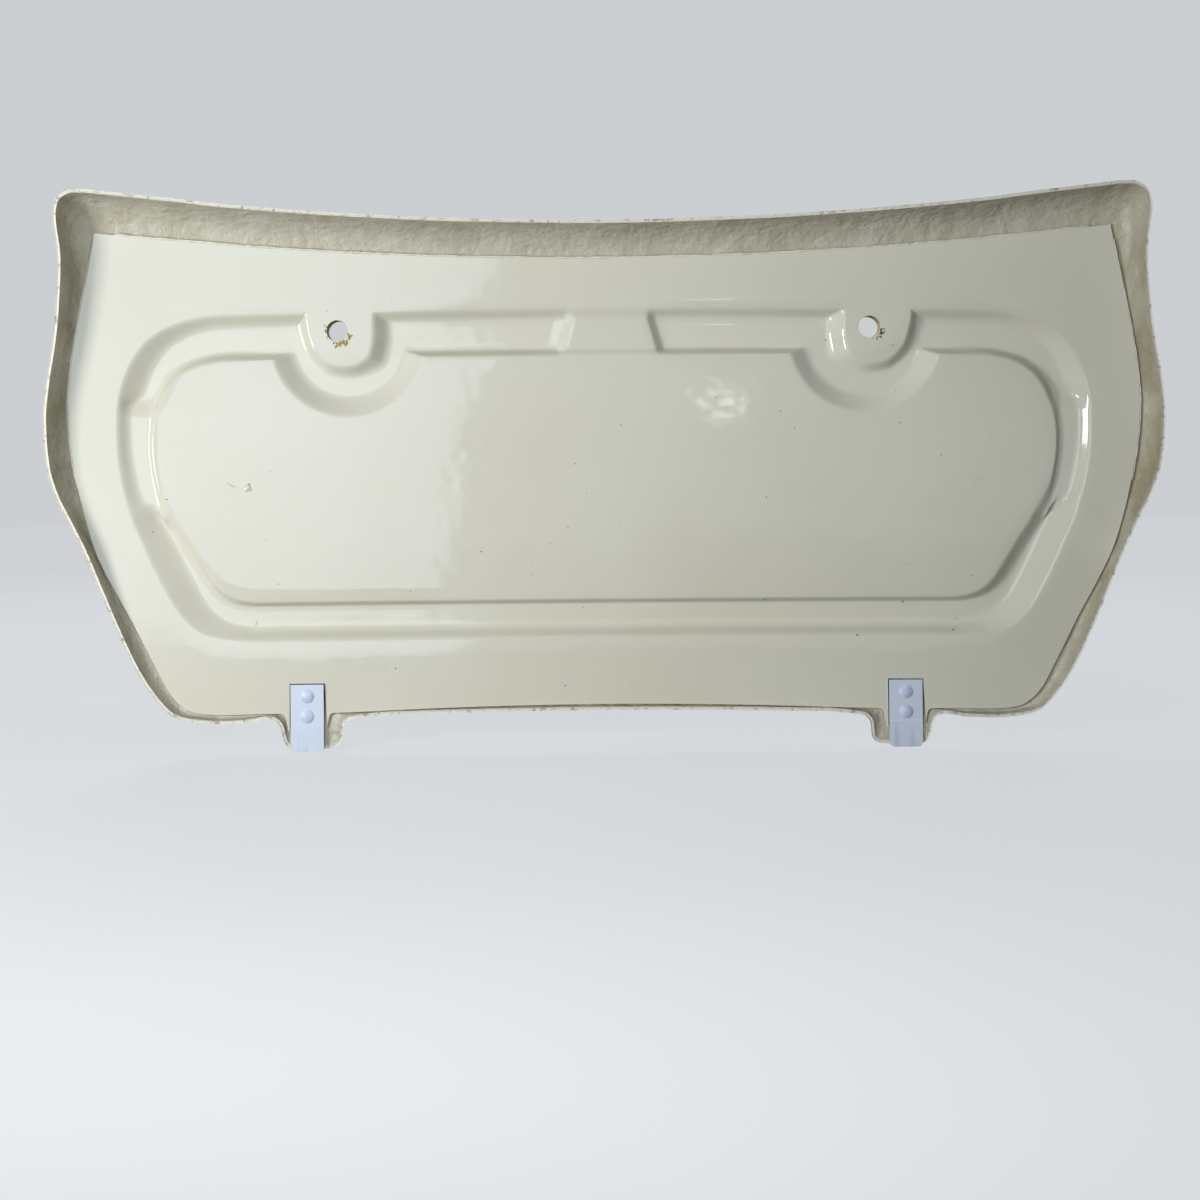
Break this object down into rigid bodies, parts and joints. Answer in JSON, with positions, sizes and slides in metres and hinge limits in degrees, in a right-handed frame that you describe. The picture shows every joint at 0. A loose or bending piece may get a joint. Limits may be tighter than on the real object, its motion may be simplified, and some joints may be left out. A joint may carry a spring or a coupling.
{
  "type": "caravan locker lid",
  "caption": "Moulded front locker lid seen from inside: outer skin with return flange, bonded liner with a channelled panel, lock holes and hinge leaves.",
  "frame": {"origin": "middle of the left hinge leaf's flat lower end, on its inner face", "axes": "+X along the hinge edge to the right seen from inside, +Y from the inside to the outer face, +Z from the hinge edge up to the lock edge"},
  "size_m": [1.358, 0.109, 0.688],
  "materials": {
    "skin_gelcoat": "rough flow coat inside, gloss outside",
    "liner_gelcoat": "gloss",
    "leaf_paint": "satin",
    "rivet_paint": "satin",
    "packer_ply": "raw",
    "packer_filler": "rough",
    "adhesive": "satin"
  },
  "bodies": {
    "root": {"outer_skin": "skin_gelcoat", "inner_liner": "liner_gelcoat", "hinge_leaf_left": "leaf_paint", "hinge_leaf_right": "leaf_paint", "rivet_left_upper": "rivet_paint", "rivet_left_lower": "rivet_paint", "rivet_right_upper": "rivet_paint", "rivet_right_lower": "rivet_paint", "hinge_packer_left": "packer_ply", "hinge_packer_right": "packer_ply", "lock_packer_left": "packer_filler", "lock_packer_right": "packer_filler", "bead_top": "adhesive", "bead_left": "adhesive", "bead_right": "adhesive"}
  },
  "joints": []
}
